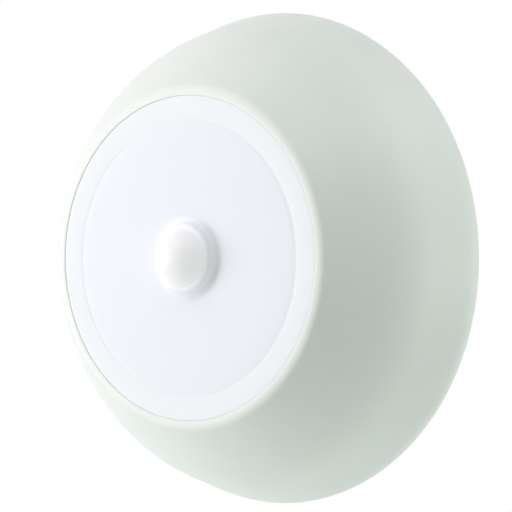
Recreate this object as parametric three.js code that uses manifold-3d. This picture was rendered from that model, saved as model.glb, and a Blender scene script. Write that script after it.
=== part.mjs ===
// Sensor ceiling light: a round lamp that twists onto a plate screwed to the ceiling.
// Millimetres, Z up. The ceiling is the plane z = 0 and depths count down from it, so a depth of 5 is z = -5.
// The lamp looks down: its lens and sensor dome are the lowest parts.

import * as THREE from 'three';
import { mergeVertices } from 'three/addons/utils/BufferGeometryUtils.js';
import Module from 'manifold-3d';

const wasm = await Module();
wasm.setup();

// Gaps between neighbouring pieces
const seatGap = 0.3; // pieces that rest on or in one another
const solderGap = 0.15; // a component and the board under it
const twistGap = 0.4; // a lug and the tab that carries it
const cutOverrun = 2; // how far a cutting solid runs past what it cuts
const rootDepth = 0.5; // how far a rib or boss reaches into the wall it grows from

// Facets round a full turn
const bigTurn = 64;
const midTurn = 32;
const smallTurn = 16;
const cellTurn = 24;
const fineTurn = 12;
const flareSteps = 3;
const bowlSteps = 5;
const wireSides = 8;
const leadSteps = 26;

// Housing shell: a bell with a rolled lip, wide enough for the cells inside
const ceilingGap = 0.8; // air above the back edge, so that the lamp can turn
const housingWall = 2.2;
const rimRoom = 13; // from the cells' outermost corner to the widest ring
const rimDepth = 4.2;
const rimTuck = 0.9; // how much narrower the back edge is
const rimPull = 2;
const shoulderRoom = 8.4; // from the cells' outermost corner to where the straight flare turns into the bowl
const shoulderRise = 0.6; // of that ring above the cells' axes
const flareSlope = 0.28; // radius lost for each millimetre of depth
const flarePull = 12;
const bowlPull = 10;
const lipWidth = 4; // from the lens opening to where the bowl ends and the lip rolls in
const lipSlope = 0.86;
const lipPull = 14;
const lipRise = 1.15; // front of the lip below the end of the bowl
const lipRoll = 0.9; // the roll's corner, in from the end of the bowl
const lipFront = 1.4; // flat front of the lip, from the lens opening
const lipEdge = 0.3; // small round between the lip's front and the lens opening

// Lens: flat disc, paler band at its edge, fine groove, raised boss in the middle
const lensOpening = 54.3; // radius of the hole in the lip
const lensRecess = 0.5; // lens edge behind the lip's front
const lensEdge = 2.3; // thickness at the edge
const lensWall = 2; // thickness in the middle
const lensEdgeRound = 0.4;
const bandWidth = 6.8;
const grooveWidth = 1;
const grooveDepth = 0.35;
const crownRise = 0.55;
const bossRadius = 11.9;
const bossHeight = 3.7;
const bossRound = 1;
const bossFoot = 0.9;
const ledgeReach = 3.1; // inner ledge that carries the lens, inwards from the lens opening
const ledgeThickness = 1.8;
const tongueThickness = 1.4; // snap tongues behind the lens
const tongueSpan = 16; // degrees
const tongueCount = 4;
const hookReach = 1.1;
const hookHeight = 1.5;

// Sensor dome, its flange and the tube behind it
const domeRadius = 9.8;
const domeHeight = 6.7; // above the boss
const domeWall = 0.8;
const flangeRadius = 12.2;
const flangeThickness = 1;
const shroudInner = 10.4;
const shroudWall = 1.2;

// Infrared sensor can, its spacer and the daylight sensor
const canFlange = 4.7;
const canRadius = 4.15;
const canHeight = 4.2;
const canFlangeThickness = 0.6;
const canWindow = 3.4;
const canWindowDepth = 0.3;
const riserRadius = 5.3;
const riserHeight = 5.4;
const lightSensorRadius = 1.5;
const lightSensorHeight = 5;
const lightSensorPlace = 7.6; // from the lamp's axis

// Circuit board, emitters and reflector
const pillarHeight = 3.45; // board pillars above the lens ledge
const pillarRadius = 2.9;
const pillarEdge = 1.2; // of the ledge, inside a pillar
const boardThickness = 1.6;
const boardScrewCount = 3;
const boardScrewTurn = 45; // degrees
const ledCount = 8;
const ledCircle = 30;
const ledSize = 5;
const ledHeight = 1.4;
const ledLensRadius = 1.9;
const ledLensDepth = 0.3;
const reflectorWall = 0.8;
const reflectorFlare = 5.2; // rim wider than the floor
const windowGap = 0.5; // round an emitter

// Parts on the back of the board: sizes, and places from the lamp's axis
const chipWidth = 5;
const chipLength = 6;
const chipHeight = 1.5;
const chipPlace = [9.2, 3.5];
const inductorRadius = 4.5;
const inductorHeight = 5;
const inductorWaist = 0.9;
const inductorFlange = 1.1;
const inductorPlace = [7.5, -9];
const capacitorRadius = 4;
const capacitorHeight = 11;
const capacitorGroove = 0.35;
const capacitorPlace = [-9.4, -9.4];
const socketWidth = 8.4;
const socketLength = 5.8;
const socketHeight = 4.4;
const socketWall = 0.8;
const socketFloor = 1;
const plugHeight = 6.2;
const socketPlace = [-3, 1.5];
const pinPitch = 2.6;

// Cells and their contacts
const cellRadius = 17.1;
const cellLength = 61.5; // over the raised contact
const nubRadius = 4.75;
const nubHeight = 1.5;
const cellEdge = 0.8;
const stripThickness = 0.5;
const stripHeight = 12;
const contactReach = 7; // strip past the middle of its cell
const tailHeight = 4;
const tailLength = 3.4;
const springLength = 4.6; // squeezed between strip and cell
const springWire = 0.9;
const springBase = 6.6; // radius of the widest turn, to the wire's middle
const springTip = 3.8;
const springTurns = 3;
const wireRadius = 0.7;

// Battery tray
const trayWall = 1.6;
const trayGap = 1; // to the housing's inner face
const deckThickness = 1.6;
const deckGap = 1.5; // deck below the plate's tabs
const leadRoom = 2.2; // between the wells and the board
const slotGap = 0.4; // round a strip that passes through a wall

// Screws
const trayScrewShank = 1.4;
const trayScrewLength = 11;
const trayScrewHead = 2.8;
const trayScrewHeadHeight = 1.9;
const boardScrewShank = 1.1;
const boardScrewLength = 4.8;
const boardScrewHead = 2.2;
const boardScrewHeadHeight = 1.4;
const driveRadius = 1.1; // recess in a screw's head
const drivePart = 0.9; // depth of that recess
const pilotGap = 0.15; // round a screw's shank
const postRadius = 3.3;
const postSpace = 8.6; // between the wells and the tray's screw posts
const gussetThickness = 1.6;
const gussetDrop = 3; // a gusset starts below the top of its post

// Ceiling plate and its twist lock
const plateThickness = 2.5;
const bayonetRoom = 5.15; // from the plate's skirt to the housing's inner face at the skirt's foot
const skirtWall = 2.2;
const lugCount = 3;
const lugSpan = 20; // degrees, for a lug and for a tab
const lugDepth = 4.4;
const lugThickness = 2.2;
const lugClear = 0.6; // between a lug's tip and the skirt
const lugTurn = 90; // degrees, the place of the first lug
const stopSpan = 2.4; // degrees
const tabReach = 3.8;
const tabThickness = 2;
const tabLead = 0.8; // chamfer on the entering end of a tab
const keyholeSpread = 55; // each keyhole's distance from the middle, outside the cells' reach
const keyholeTurn = -20; // degrees, the first keyhole's round entry
const keyholeHead = 4.8;
const keyholeSlot = 2.5;
const keyholeTravel = 15; // degrees of slot
const keyholeRim = 2.4; // raised edge round a keyhole
const ribHeight = 1.2;
const cellAir = 1; // between the plate's ribs and the cells
const ribWidth = 1.8;
const ribCount = 12;
const hubRadius = 12;

// Depths that follow, from the ceiling down
const tabDepth = lugDepth + lugThickness + twistGap;
const skirtDepth = tabDepth + tabThickness;
const deckDepth = skirtDepth + deckGap;
const deckUnderside = deckDepth + deckThickness;
const cellDepth = plateThickness + ribHeight + cellAir + cellRadius;
const wellFloor = cellDepth + cellRadius + seatGap + trayWall;
const boardBackDepth = wellFloor + leadRoom;
const boardFrontDepth = boardBackDepth + boardThickness;
const ledgeBackDepth = boardFrontDepth + seatGap + pillarHeight;
const ledgeFrontDepth = ledgeBackDepth + ledgeThickness;
const lensBackDepth = ledgeFrontDepth + seatGap;
const lensFaceDepth = lensBackDepth + lensEdge;
const frontDepth = lensFaceDepth + lensRecess;
const lipDepth = frontDepth - lipRise;
const shoulderDepth = cellDepth - shoulderRise;
const crownDepth = lensFaceDepth + crownRise;
const innerFaceDepth = crownDepth - lensWall;
const bossDepth = crownDepth + bossHeight;
const boardScrewDepth = boardBackDepth - solderGap;

// The pinwheel of cell bays. The first bay lies along X on the +Y side, the others are turned a quarter each.
const stripSeat = seatGap + stripThickness + seatGap;
const bayLength = stripSeat + cellLength + seatGap + springLength + stripSeat;
const bayRadius = cellRadius + seatGap;
const bayInnerEnd = (bayLength - trayWall - 2 * bayRadius) / 2;
const bayOuterEnd = bayInnerEnd - bayLength;
const bayAxis = bayInnerEnd + trayWall + bayRadius;
const cellTip = bayInnerEnd - stripSeat;
const springStart = bayOuterEnd + stripSeat;
const cellCorner = Math.hypot(cellLength - cellTip, bayAxis + cellRadius);
const postCircle = -bayOuterEnd + trayWall + postSpace + postRadius;

// Radii that follow
const rimRadius = cellCorner + rimRoom;
const shoulderRadius = cellCorner + shoulderRoom;
const lipRadius = lensOpening + lipWidth;
const lensRadius = lensOpening - seatGap;
const ledgeRadius = lensOpening - ledgeReach;
const pillarCircle = ledgeRadius + pillarEdge + pillarRadius;
const boardRadius = pillarCircle + pillarRadius + seatGap;
const skirtRadius = skinRadius(housingWall, skirtDepth) - bayonetRoom;
const lugRadius = skirtRadius + lugClear;

const radians = THREE.MathUtils.degToRad;
const quarterTurn = radians(90);

// Solids for joining and cutting

// A closed geometry as a solid with its faces outwards
function solid(geometry) {
  const bare = new THREE.BufferGeometry();
  bare.setAttribute('position', geometry.getAttribute('position'));
  bare.setIndex(geometry.index);
  const merged = mergeVertices(bare);
  const places = merged.getAttribute('position');
  const corners = [new THREE.Vector3(), new THREE.Vector3(), new THREE.Vector3()];
  const triangles = [];
  let volume = 0;
  for (let i = 0; i < merged.index.count; i += 3) {
    const [a, b, c] = [0, 1, 2].map((k) => merged.index.getX(i + k));
    if (a === b || b === c || c === a) continue;
    [a, b, c].forEach((v, k) => corners[k].fromBufferAttribute(places, v));
    volume += corners[0].dot(corners[1].cross(corners[2]));
    triangles.push(a, b, c);
  }
  if (volume < 0) triangles.reverse();
  const vertProperties = new Float32Array(places.array);
  return new wasm.Manifold(new wasm.Mesh({ numProp: 3, vertProperties, triVerts: new Uint32Array(triangles) }));
}

function join(solids) {
  return solids.reduce((whole, next) => whole.add(next));
}

function cut(body, cutters) {
  return cutters.reduce((rest, next) => rest.subtract(next), body);
}

// A point of a turned profile: radius from the axis, depth below the ceiling
function at(radius, depth) {
  return new THREE.Vector2(radius, -depth);
}

function revolve(profile, turn) {
  return solid(new THREE.LatheGeometry(profile, turn).rotateX(quarterTurn));
}

// A disc or cylinder on a vertical axis through `place`
function drum(radius, top, bottom, turn, place = [0, 0]) {
  const profile = [at(0, top), at(radius, top), at(radius, bottom), at(0, bottom)];
  const geometry = new THREE.LatheGeometry(profile, turn).rotateX(quarterTurn);
  return solid(geometry.translate(place[0], place[1], 0));
}

function tubeWall(inner, outer, top, bottom, turn) {
  const profile = [at(inner, top), at(outer, top), at(outer, bottom), at(inner, bottom), at(inner, top)];
  return revolve(profile, turn);
}

// A flat outline, in plan, carried down from one depth to another
function prism(outline, top, bottom, curveSegments = smallTurn) {
  const geometry = new THREE.ExtrudeGeometry(outline, { depth: bottom - top, bevelEnabled: false, curveSegments });
  return geometry.translate(0, 0, -bottom);
}

// A box between two plan corners
function box(fromX, toX, fromY, toY, top, bottom) {
  const geometry = new THREE.BoxGeometry(toX - fromX, toY - fromY, bottom - top);
  return geometry.translate((fromX + toX) / 2, (fromY + toY) / 2, -(top + bottom) / 2);
}

// Part of a ring, in plan, between two angles in degrees
function sector(inner, outer, from, to) {
  const outline = new THREE.Shape();
  outline.absarc(0, 0, outer, radians(from), radians(to), false);
  outline.absarc(0, 0, inner, radians(to), radians(from), true);
  outline.closePath();
  return outline;
}

// The plan places of `count` things on a circle
function around(count, radius, firstAngle) {
  return Array.from({ length: count }, (_, k) => {
    const angle = radians(firstAngle + (k * 360) / count);
    return [radius * Math.cos(angle), radius * Math.sin(angle)];
  });
}

// Pieces of the finished lamp

const plastic = { color: 0xf4f5f2, roughness: 0.32, metalness: 0 };
const innerPlastic = { color: 0xe9eae6, roughness: 0.5, metalness: 0 };
const frosted = { color: 0xeef1fa, roughness: 0.4, metalness: 0 };
const milky = { color: 0xf3f4ef, roughness: 0.35, metalness: 0 };
const boardWhite = { color: 0xe8ece6, roughness: 0.45, metalness: 0 };
const emitter = { color: 0xf2dc7a, roughness: 0.35, metalness: 0 };
const blackPlastic = { color: 0x1c1d1f, roughness: 0.45, metalness: 0 };
const nickel = { color: 0xc9c8c3, roughness: 0.28, metalness: 1 };
const steel = { color: 0xaeb0b2, roughness: 0.35, metalness: 1 };
const redCover = { color: 0xb3261f, roughness: 0.5, metalness: 0 };
const blackCover = { color: 0x202022, roughness: 0.5, metalness: 0 };
const cellJacket = { color: 0x3d4a57, roughness: 0.4, metalness: 0.2 };
const glassy = { color: 0x9fc0c4, roughness: 0.15, metalness: 0 };

function mesh(name, geometry, finish) {
  const piece = new THREE.Mesh(geometry, new THREE.MeshStandardMaterial(finish));
  piece.name = name;
  return piece;
}

// A joined or cut solid as a mesh
function piece(name, body, finish) {
  const { vertProperties, triVerts } = body.getMesh();
  const geometry = new THREE.BufferGeometry();
  geometry.setAttribute('position', new THREE.BufferAttribute(new Float32Array(vertProperties), 3));
  geometry.setIndex(new THREE.BufferAttribute(new Uint32Array(triVerts), 1));
  geometry.computeVertexNormals();
  return mesh(name, geometry, finish);
}

// Housing

// The outside of the shell in three curves: the rounded rim, the straight flare and the bowl
function shellCurves() {
  const back = at(rimRadius - rimTuck, ceilingGap);
  const rim = at(rimRadius, rimDepth);
  const shoulder = at(shoulderRadius, shoulderDepth);
  const lip = at(lipRadius, lipDepth);
  const round = new THREE.QuadraticBezierCurve(back, at(rimRadius, (ceilingGap + rimDepth) / 2), rim);
  const flareIn = at(rimRadius, rimDepth + rimPull);
  const flareOut = at(shoulderRadius + flareSlope * flarePull, shoulderDepth - flarePull);
  const flare = new THREE.CubicBezierCurve(rim, flareIn, flareOut, shoulder);
  const bowlIn = at(shoulderRadius - flareSlope * bowlPull, shoulderDepth + bowlPull);
  const bowlOut = at(lipRadius + lipSlope * lipPull, lipDepth - lipPull);
  const bowl = new THREE.CubicBezierCurve(shoulder, bowlIn, bowlOut, lip);
  return { round, flare, bowl };
}

// The shell's outside moved inwards along its normals, from the rim to the end of the bowl
function insetShell(distance) {
  const { flare, bowl } = shellCurves();
  const places = [];
  for (const [curve, steps] of [[flare, flareSteps], [bowl, bowlSteps]]) {
    for (let k = places.length ? 1 : 0; k <= steps; k++) {
      const place = curve.getPoint(k / steps);
      const along = curve.getTangent(k / steps);
      places.push(new THREE.Vector2(place.x + distance * along.y, place.y - distance * along.x));
    }
  }
  return places;
}

// The stretch of a profile between two depths, its ends cut exactly there
function between(places, top, bottom) {
  const kept = [];
  places.forEach((place, k) => {
    const next = places[k + 1];
    if (-place.y >= top && -place.y <= bottom) kept.push(place);
    if (!next) return;
    for (const depth of [top, bottom]) {
      if ((-place.y - depth) * (-next.y - depth) < 0) {
        kept.push(place.clone().lerp(next, (-depth - place.y) / (next.y - place.y)));
      }
    }
  });
  return kept;
}

// The radius at a depth of the shell's outside moved inwards
function skinRadius(distance, depth) {
  return between(insetShell(distance), depth, Infinity)[0].x;
}

// A solid that fills the shell, below its rim, down to a given distance from its outside
function shellFill(distance, top, bottom) {
  return revolve([at(0, top), ...between(insetShell(distance), top, bottom), at(0, bottom)], bigTurn);
}

function housing() {
  const { round, flare, bowl } = shellCurves();
  const lip = at(lipRadius, lipDepth);
  const lipEnd = at(lensOpening + lipFront, frontDepth);
  const roll = new THREE.QuadraticBezierCurve(lip, at(lipRadius - lipRoll, frontDepth), lipEnd);
  const outside = [
    ...round.getPoints(2),
    ...flare.getPoints(flareSteps).slice(1),
    ...bowl.getPoints(bowlSteps).slice(1),
    ...roll.getPoints(2).slice(1),
  ];
  const opening = [
    at(lensOpening + lipEdge, frontDepth),
    at(lensOpening, frontDepth - lipEdge),
    at(lensOpening, ledgeFrontDepth),
    at(ledgeRadius, ledgeFrontDepth),
    at(ledgeRadius, ledgeBackDepth),
  ];
  const inside = between(insetShell(housingWall), rimDepth, ledgeBackDepth).reverse();
  const backEdge = at(rimRadius - rimTuck - housingWall, ceilingGap);
  const shell = revolve([...outside, ...opening, ...inside, backEdge, outside[0]], bigTurn);
  const envelope = shellFill(housingWall - rootDepth, lugDepth, ledgeBackDepth + rootDepth);
  const grown = [...trayPosts(), ...lugs()].map((body) => body.intersect(envelope));
  const body = cut(join([shell, ...grown, ...boardPillars()]), [...trayPilots(), ...boardPilots()]);
  return piece('housing', body, plastic);
}

// Four posts, each with a gusset out to the shell, for the battery tray's screws
function trayPosts() {
  const top = deckUnderside + seatGap;
  return around(4, postCircle, 0).map((place, k) => {
    const post = drum(postRadius, top, wellFloor, smallTurn, place);
    const half = gussetThickness / 2;
    const gusset = box(postCircle, rimRadius, -half, half, top + gussetDrop, wellFloor);
    return post.add(solid(gusset.rotateZ(k * quarterTurn)));
  });
}

function trayPilots() {
  const top = deckUnderside + seatGap;
  return around(4, postCircle, 0).map((place) => {
    return drum(trayScrewShank + pilotGap, top - cutOverrun, top + trayScrewLength, smallTurn, place);
  });
}

// Short pillars on the lens ledge that carry the board
function boardPillars() {
  const top = boardFrontDepth + seatGap;
  return around(boardScrewCount, pillarCircle, boardScrewTurn).map((place) => {
    return drum(pillarRadius, top, ledgeBackDepth + rootDepth, smallTurn, place);
  });
}

function boardPilots() {
  const bottom = boardScrewDepth + boardScrewLength + seatGap;
  return around(boardScrewCount, pillarCircle, boardScrewTurn).map((place) => {
    return drum(boardScrewShank + pilotGap, boardFrontDepth - cutOverrun, bottom, smallTurn, place);
  });
}

// Inward lugs that hang on the plate's tabs. The lamp unlocks as its lugs run towards smaller angles,
// so the stop that ends the locking turn stands at each lug's end on that side.
function lugs() {
  const stopEnd = lugSpan / 2 + THREE.MathUtils.radToDeg(seatGap / skirtRadius);
  return Array.from({ length: lugCount }, (_, k) => {
    const middle = lugTurn + (k * 360) / lugCount;
    const shelf = sector(lugRadius, rimRadius, middle - stopEnd, middle + lugSpan / 2);
    const stop = sector(lugRadius, rimRadius, middle - stopEnd - stopSpan, middle - stopEnd);
    const shelfBody = solid(prism(shelf, lugDepth, lugDepth + lugThickness, smallTurn / 4));
    return shelfBody.add(solid(prism(stop, lugDepth, skirtDepth, smallTurn / 4)));
  });
}

// Ceiling plate

function mountingPlate() {
  const root = plateThickness - rootDepth;
  const ribDepth = plateThickness + ribHeight;
  const disc = drum(skirtRadius, 0, plateThickness, bigTurn);
  const skirt = tubeWall(skirtRadius - skirtWall, skirtRadius, root, skirtDepth, bigTurn);
  const hub = tubeWall(hubRadius - ribWidth, hubRadius, root, ribDepth, midTurn);
  const ribs = Array.from({ length: ribCount }, (_, k) => {
    const half = ribWidth / 2;
    const rib = box(hubRadius - half, skirtRadius - skirtWall + rootDepth, -half, half, root, ribDepth);
    return solid(rib.rotateZ(radians(((k + 1 / 2) * 360) / ribCount)));
  });
  const rims = keyholes(keyholeRim, root, ribDepth);
  const holes = keyholes(0, -cutOverrun, ribDepth + cutOverrun);
  const body = cut(join([disc, skirt, hub, ...ribs, ...rims, ...tabs()]), holes);
  return piece('mounting_plate', body, plastic);
}

// Two keyholes: a round entry for a screw's head, then a slot along the turn. `edge` widens them.
function keyholes(edge, top, bottom) {
  return [0, 1].flatMap((k) => {
    const start = keyholeTurn + k * 180;
    const end = start + keyholeTravel;
    const slot = sector(keyholeSpread - keyholeSlot - edge, keyholeSpread + keyholeSlot + edge, start, end);
    const [endPlace] = around(1, keyholeSpread, end);
    const [entryPlace] = around(1, keyholeSpread, start);
    return [
      solid(prism(slot, top, bottom, smallTurn / 2)),
      drum(keyholeSlot + edge, top, bottom, smallTurn, endPlace),
      drum(keyholeHead + edge, top, bottom, smallTurn, entryPlace),
    ];
  });
}

// Outward tabs at the foot of the skirt, chamfered where the lugs run onto them
function tabs() {
  return Array.from({ length: lugCount }, (_, k) => {
    const middle = lugTurn + (k * 360) / lugCount;
    const outer = skirtRadius + tabReach;
    const outline = sector(skirtRadius - rootDepth, outer, middle - lugSpan / 2, middle + lugSpan / 2);
    const tab = solid(prism(outline, tabDepth, skirtDepth, smallTurn / 4));
    const edge = new THREE.BoxGeometry(2 * tabReach, tabLead * Math.SQRT2, tabLead * Math.SQRT2);
    edge.rotateX(quarterTurn / 2);
    edge.translate(skirtRadius + seatGap + tabReach, 0, -tabDepth);
    edge.rotateZ(radians(middle - lugSpan / 2));
    return tab.subtract(solid(edge));
  });
}

// Lens

function lens() {
  const bandEdge = lensRadius - bandWidth;
  const centreEdge = bandEdge - grooveWidth;
  const bossRoot = bossRadius + bossFoot;
  const crown = new THREE.QuadraticBezierCurve(
    at(centreEdge, lensFaceDepth),
    at((centreEdge + bossRoot) / 2, crownDepth),
    at(bossRadius, crownDepth),
  );
  const profile = [
    at(lensRadius, lensBackDepth),
    at(lensRadius, lensFaceDepth - lensEdgeRound),
    at(lensRadius - lensEdgeRound, lensFaceDepth),
    at(bandEdge, lensFaceDepth),
    at(bandEdge - grooveWidth / 2, lensFaceDepth - grooveDepth),
    ...crown.getPoints(2),
    at(bossRadius, innerFaceDepth),
    at(centreEdge, lensBackDepth),
  ];
  const disc = revolve([...profile, profile[0]], bigTurn);
  return piece('lens', join([disc, lensBoss(), ...lensTongues()]), frosted);
}

// The raised collar that the sensor dome stands in, with a rounded brow and a filleted foot
function lensBoss() {
  const hole = domeRadius + seatGap;
  const foot = new THREE.QuadraticBezierCurve(
    at(bossRadius + bossFoot, crownDepth),
    at(bossRadius, crownDepth),
    at(bossRadius, crownDepth + bossFoot),
  );
  const brow = new THREE.QuadraticBezierCurve(
    at(bossRadius, bossDepth - bossRound),
    at(bossRadius, bossDepth),
    at(bossRadius - bossRound, bossDepth),
  );
  const root = at(bossRadius + bossFoot, innerFaceDepth);
  const profile = [root, ...foot.getPoints(2), ...brow.getPoints(2), at(hole, bossDepth), at(hole, innerFaceDepth), root];
  return revolve(profile, midTurn);
}

// Snap tongues that pass inside the ledge and hook behind it
function lensTongues() {
  const outer = ledgeRadius - seatGap;
  const inner = outer - tongueThickness;
  const hookTop = ledgeBackDepth - seatGap - hookHeight;
  const start = lensBackDepth + rootDepth;
  const ring = revolve(
    [
      at(inner, start),
      at(inner, hookTop),
      at(outer, hookTop),
      at(outer + hookReach, hookTop + hookHeight),
      at(outer, hookTop + hookHeight),
      at(outer, start),
      at(inner, start),
    ],
    bigTurn,
  );
  return Array.from({ length: tongueCount }, (_, k) => {
    const middle = (k * 360) / tongueCount;
    const slice = sector(inner / 2, lensRadius, middle - tongueSpan / 2, middle + tongueSpan / 2);
    return ring.intersect(solid(prism(slice, hookTop - cutOverrun, lensFaceDepth, smallTurn / 4)));
  });
}

// Sensor

// A spherical cap on a short neck, hollow, with a flange that the lens traps from the front
function sensorDome() {
  const sphere = (domeHeight ** 2 + domeRadius ** 2) / (2 * domeHeight);
  const centre = bossDepth + domeHeight - sphere;
  const neck = domeRadius - domeWall;
  const flangeFront = innerFaceDepth - seatGap;
  const flangeBack = flangeFront - flangeThickness;
  const arc = (radius, edge) => {
    const start = Math.asin(edge / radius);
    return Array.from({ length: 6 }, (_, k) => {
      const angle = start * (1 - k / 5);
      return at(radius * Math.sin(angle), centre + radius * Math.cos(angle));
    });
  };
  const profile = [
    ...arc(sphere - domeWall, neck).reverse(),
    at(neck, flangeBack),
    at(flangeRadius, flangeBack),
    at(flangeRadius, flangeFront),
    at(domeRadius, flangeFront),
    ...arc(sphere, domeRadius),
  ];
  return piece('sensor_dome', revolve(profile, midTurn), milky);
}

function sensorShroud() {
  const top = boardFrontDepth + seatGap;
  const bottom = innerFaceDepth - seatGap - flangeThickness - seatGap;
  const wall = tubeWall(shroudInner, shroudInner + shroudWall, top, bottom, midTurn);
  return piece('sensor_shroud', wall, innerPlastic);
}

function sensorRiser() {
  const top = boardFrontDepth + solderGap;
  return piece('sensor_riser', drum(riserRadius, top, top + riserHeight, smallTurn), blackPlastic);
}

// The metal can of the infrared sensor, with its square window
function pirSensor() {
  const top = boardFrontDepth + solderGap + riserHeight + solderGap;
  const bottom = top + canHeight;
  const rim = drum(canFlange, top, top + canFlangeThickness, smallTurn);
  const can = drum(canRadius, top, bottom, smallTurn);
  const half = canWindow / 2;
  const window = box(-half, half, -half, half, bottom - canWindowDepth, bottom + cutOverrun);
  return piece('pir_sensor', cut(rim.add(can), [solid(window)]), nickel);
}

// A small clear package with a rounded end
function lightSensor() {
  const top = boardFrontDepth + solderGap;
  const shoulder = top + lightSensorHeight - lightSensorRadius;
  const end = Array.from({ length: 5 }, (_, k) => {
    const angle = quarterTurn * (1 - k / 4);
    return at(lightSensorRadius * Math.sin(angle), shoulder + lightSensorRadius * Math.cos(angle));
  });
  const body = revolve([at(0, top), at(lightSensorRadius, top), ...end], smallTurn);
  const sensor = piece('light_sensor', body, glassy);
  sensor.position.set(lightSensorPlace, 0, 0);
  return sensor;
}

// Board, emitters and reflector

function ledBoard() {
  const disc = drum(boardRadius, boardBackDepth, boardFrontDepth, bigTurn);
  const holes = around(boardScrewCount, pillarCircle, boardScrewTurn).map((place) => {
    const radius = boardScrewShank + seatGap;
    return drum(radius, boardBackDepth - cutOverrun, boardFrontDepth + cutOverrun, smallTurn, place);
  });
  return piece('led_board', cut(disc, holes), boardWhite);
}

const ledTurn = 360 / ledCount / 2;

// Each emitter is a square package with a shallow round well for its phosphor
function leds() {
  const top = boardFrontDepth + solderGap;
  const bottom = top + ledHeight;
  const half = ledSize / 2;
  const body = solid(box(-half, half, -half, half, top, bottom));
  const hollow = drum(ledLensRadius, bottom - ledLensDepth, bottom + cutOverrun, fineTurn);
  return around(ledCount, ledCircle, ledTurn).map(([x, y], k) => {
    const led = piece(`led_${k + 1}`, body.subtract(hollow), emitter);
    led.rotation.z = Math.atan2(y, x);
    led.position.set(x, y, 0);
    return led;
  });
}

// White dish: a floor on the board with a window for each emitter, and a wall that flares to the lens
function reflector() {
  const back = boardFrontDepth + seatGap;
  const front = back + reflectorWall;
  const rim = ledgeRadius - seatGap - tongueThickness - seatGap;
  const floor = rim - reflectorFlare;
  const rimEnd = lensBackDepth - seatGap;
  const profile = [
    at(0, back),
    at(floor, back),
    at(rim, rimEnd),
    at(rim - reflectorWall, rimEnd),
    at(floor - reflectorWall, front),
    at(0, front),
  ];
  const half = ledSize / 2 + windowGap;
  const windows = around(ledCount, ledCircle, ledTurn).map(([x, y]) => {
    const window = box(-half, half, -half, half, back - cutOverrun, front + cutOverrun);
    return solid(window.rotateZ(Math.atan2(y, x)).translate(x, y, 0));
  });
  const tubeHole = shroudInner + shroudWall + seatGap;
  const centre = drum(tubeHole, back - cutOverrun, front + cutOverrun, midTurn);
  return piece('reflector', cut(revolve(profile, bigTurn), [centre, ...windows]), plastic);
}

function boardScrews() {
  return around(boardScrewCount, pillarCircle, boardScrewTurn).map((place, k) => {
    const body = screw(boardScrewShank, boardScrewLength, boardScrewHead, boardScrewHeadHeight);
    const fastener = piece(`board_screw_${k + 1}`, body, steel);
    fastener.position.set(place[0], place[1], -boardScrewDepth);
    return fastener;
  });
}

// A pan-head screw that points down, its head resting on z = 0, with a square recess
function screw(shank, length, head, headHeight) {
  const dome = new THREE.QuadraticBezierCurve(
    at(head, -headHeight / 2),
    at(head, -headHeight),
    at(head / 2, -headHeight),
  );
  const profile = [
    at(0, length),
    at(shank / 2, length),
    at(shank, length - shank),
    at(shank, 0),
    at(head, 0),
    ...dome.getPoints(2),
    at(0, -headHeight),
  ];
  const half = driveRadius / Math.SQRT2;
  const recess = box(-half, half, -half, half, -headHeight - cutOverrun, drivePart - headHeight);
  return cut(revolve(profile, fineTurn), [solid(recess)]);
}

// Parts on the back of the board, in the square between the wells

const partsDepth = boardBackDepth - solderGap;

// A box centred on a plan place
function blockAt([x, y], width, length, top, bottom) {
  return box(x - width / 2, x + width / 2, y - length / 2, y + length / 2, top, bottom);
}

function controlChip() {
  const body = blockAt(chipPlace, chipWidth, chipLength, partsDepth - chipHeight, partsDepth);
  return mesh('control_chip', body, blackPlastic);
}

// A drum core: two flanges with the winding's waist between them
function driverInductor() {
  const top = partsDepth - inductorHeight;
  const waist = inductorRadius - inductorWaist;
  const profile = [
    at(0, top),
    at(inductorRadius, top),
    at(inductorRadius, top + inductorFlange),
    at(waist, top + inductorFlange),
    at(waist, partsDepth - inductorFlange),
    at(inductorRadius, partsDepth - inductorFlange),
    at(inductorRadius, partsDepth),
    at(0, partsDepth),
  ];
  const coil = piece('driver_inductor', revolve(profile, smallTurn), blackPlastic);
  coil.position.set(inductorPlace[0], inductorPlace[1], 0);
  return coil;
}

// An electrolytic can with the rolled groove near its foot
function storageCapacitor() {
  const top = partsDepth - capacitorHeight;
  const grooveAt = partsDepth - capacitorHeight / 6;
  const groove = new THREE.QuadraticBezierCurve(
    at(capacitorRadius, grooveAt - 2 * capacitorGroove),
    at(capacitorRadius - 2 * capacitorGroove, grooveAt),
    at(capacitorRadius, grooveAt + 2 * capacitorGroove),
  );
  const profile = [
    at(0, top),
    at(capacitorRadius - capacitorGroove, top),
    at(capacitorRadius, top + capacitorGroove),
    ...groove.getPoints(4),
    at(capacitorRadius, partsDepth),
    at(0, partsDepth),
  ];
  const can = piece('storage_capacitor', revolve(profile, smallTurn), blackPlastic);
  can.position.set(capacitorPlace[0], capacitorPlace[1], 0);
  return can;
}

const plugBottom = partsDepth - socketFloor - seatGap;
const plugTop = plugBottom - plugHeight;

// An open-topped header on the board
function leadSocket() {
  const top = partsDepth - socketHeight;
  const shell = blockAt(socketPlace, socketWidth, socketLength, top, partsDepth);
  const inWidth = socketWidth - 2 * socketWall;
  const inLength = socketLength - 2 * socketWall;
  const hollow = blockAt(socketPlace, inWidth, inLength, top - cutOverrun, partsDepth - socketFloor);
  return piece('lead_socket', cut(solid(shell), [solid(hollow)]), innerPlastic);
}

function leadPlug() {
  const width = socketWidth - 2 * (socketWall + seatGap);
  const length = socketLength - 2 * (socketWall + seatGap);
  return mesh('lead_plug', blockAt(socketPlace, width, length, plugTop, plugBottom), innerPlastic);
}

// Battery tray

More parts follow.
